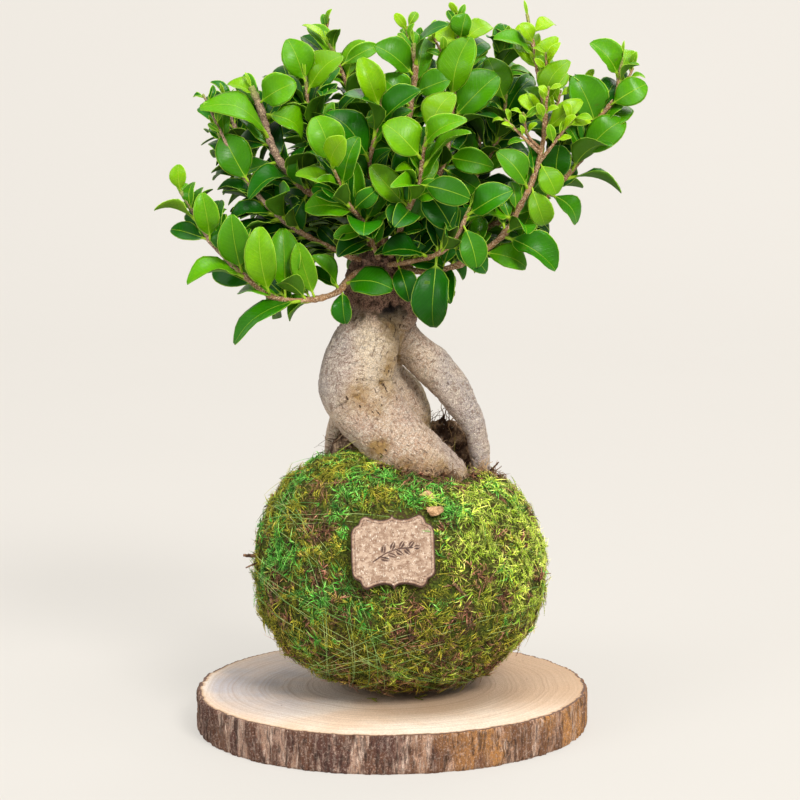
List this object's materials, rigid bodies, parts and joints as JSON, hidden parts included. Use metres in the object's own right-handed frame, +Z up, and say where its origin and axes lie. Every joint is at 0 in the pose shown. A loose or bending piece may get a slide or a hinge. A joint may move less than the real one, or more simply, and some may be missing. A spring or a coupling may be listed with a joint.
{
  "type": "kokedama moss ball plant",
  "caption": "Small fig with a swollen forked trunk and leafy shoots, grown in a moss-wrapped ball of soil with a plain plaque, resting on a round log slice.",
  "frame": {"origin": "centre of the log slice's underside", "axes": "+Z up along the plant, +X to the right and +Y to the back as seen from the side with the plaque"},
  "size_m": [0.239, 0.1954, 0.3564],
  "materials": {
    "slice_wood": "sawn and unvarnished, with bark round the edge",
    "soil": "moist crumbly soil",
    "moss": "soft living moss",
    "thread": "thin twisted thread",
    "plaque_board": "plain fibre board with scorched edges",
    "bark": "smooth matte bark",
    "leaf": "thick leaves with a waxy gloss, on woody twigs"
  },
  "bodies": {
    "root": {"log_slice": "slice_wood", "soil_ball": "soil", "moss_cover": "moss", "binding_thread": "thread", "plaque": "plaque_board", "fig_trunk": "bark", "shoot_left_low": "leaf", "shoot_left_upper": "leaf", "shoot_front_left": "leaf", "shoot_front_right": "leaf", "shoot_front_centre": "leaf", "shoot_top_centre": "leaf", "shoot_top_right": "leaf", "shoot_right": "leaf", "shoot_right_far": "leaf", "shoot_left_middle": "leaf", "shoot_front_low": "leaf", "shoot_middle_left": "leaf", "shoot_middle_right": "leaf", "shoot_back_left_low": "leaf", "shoot_back_left": "leaf", "shoot_back_centre": "leaf", "shoot_back_right": "leaf", "shoot_back_right_low": "leaf", "shoot_back_low": "leaf"}
  },
  "joints": []
}
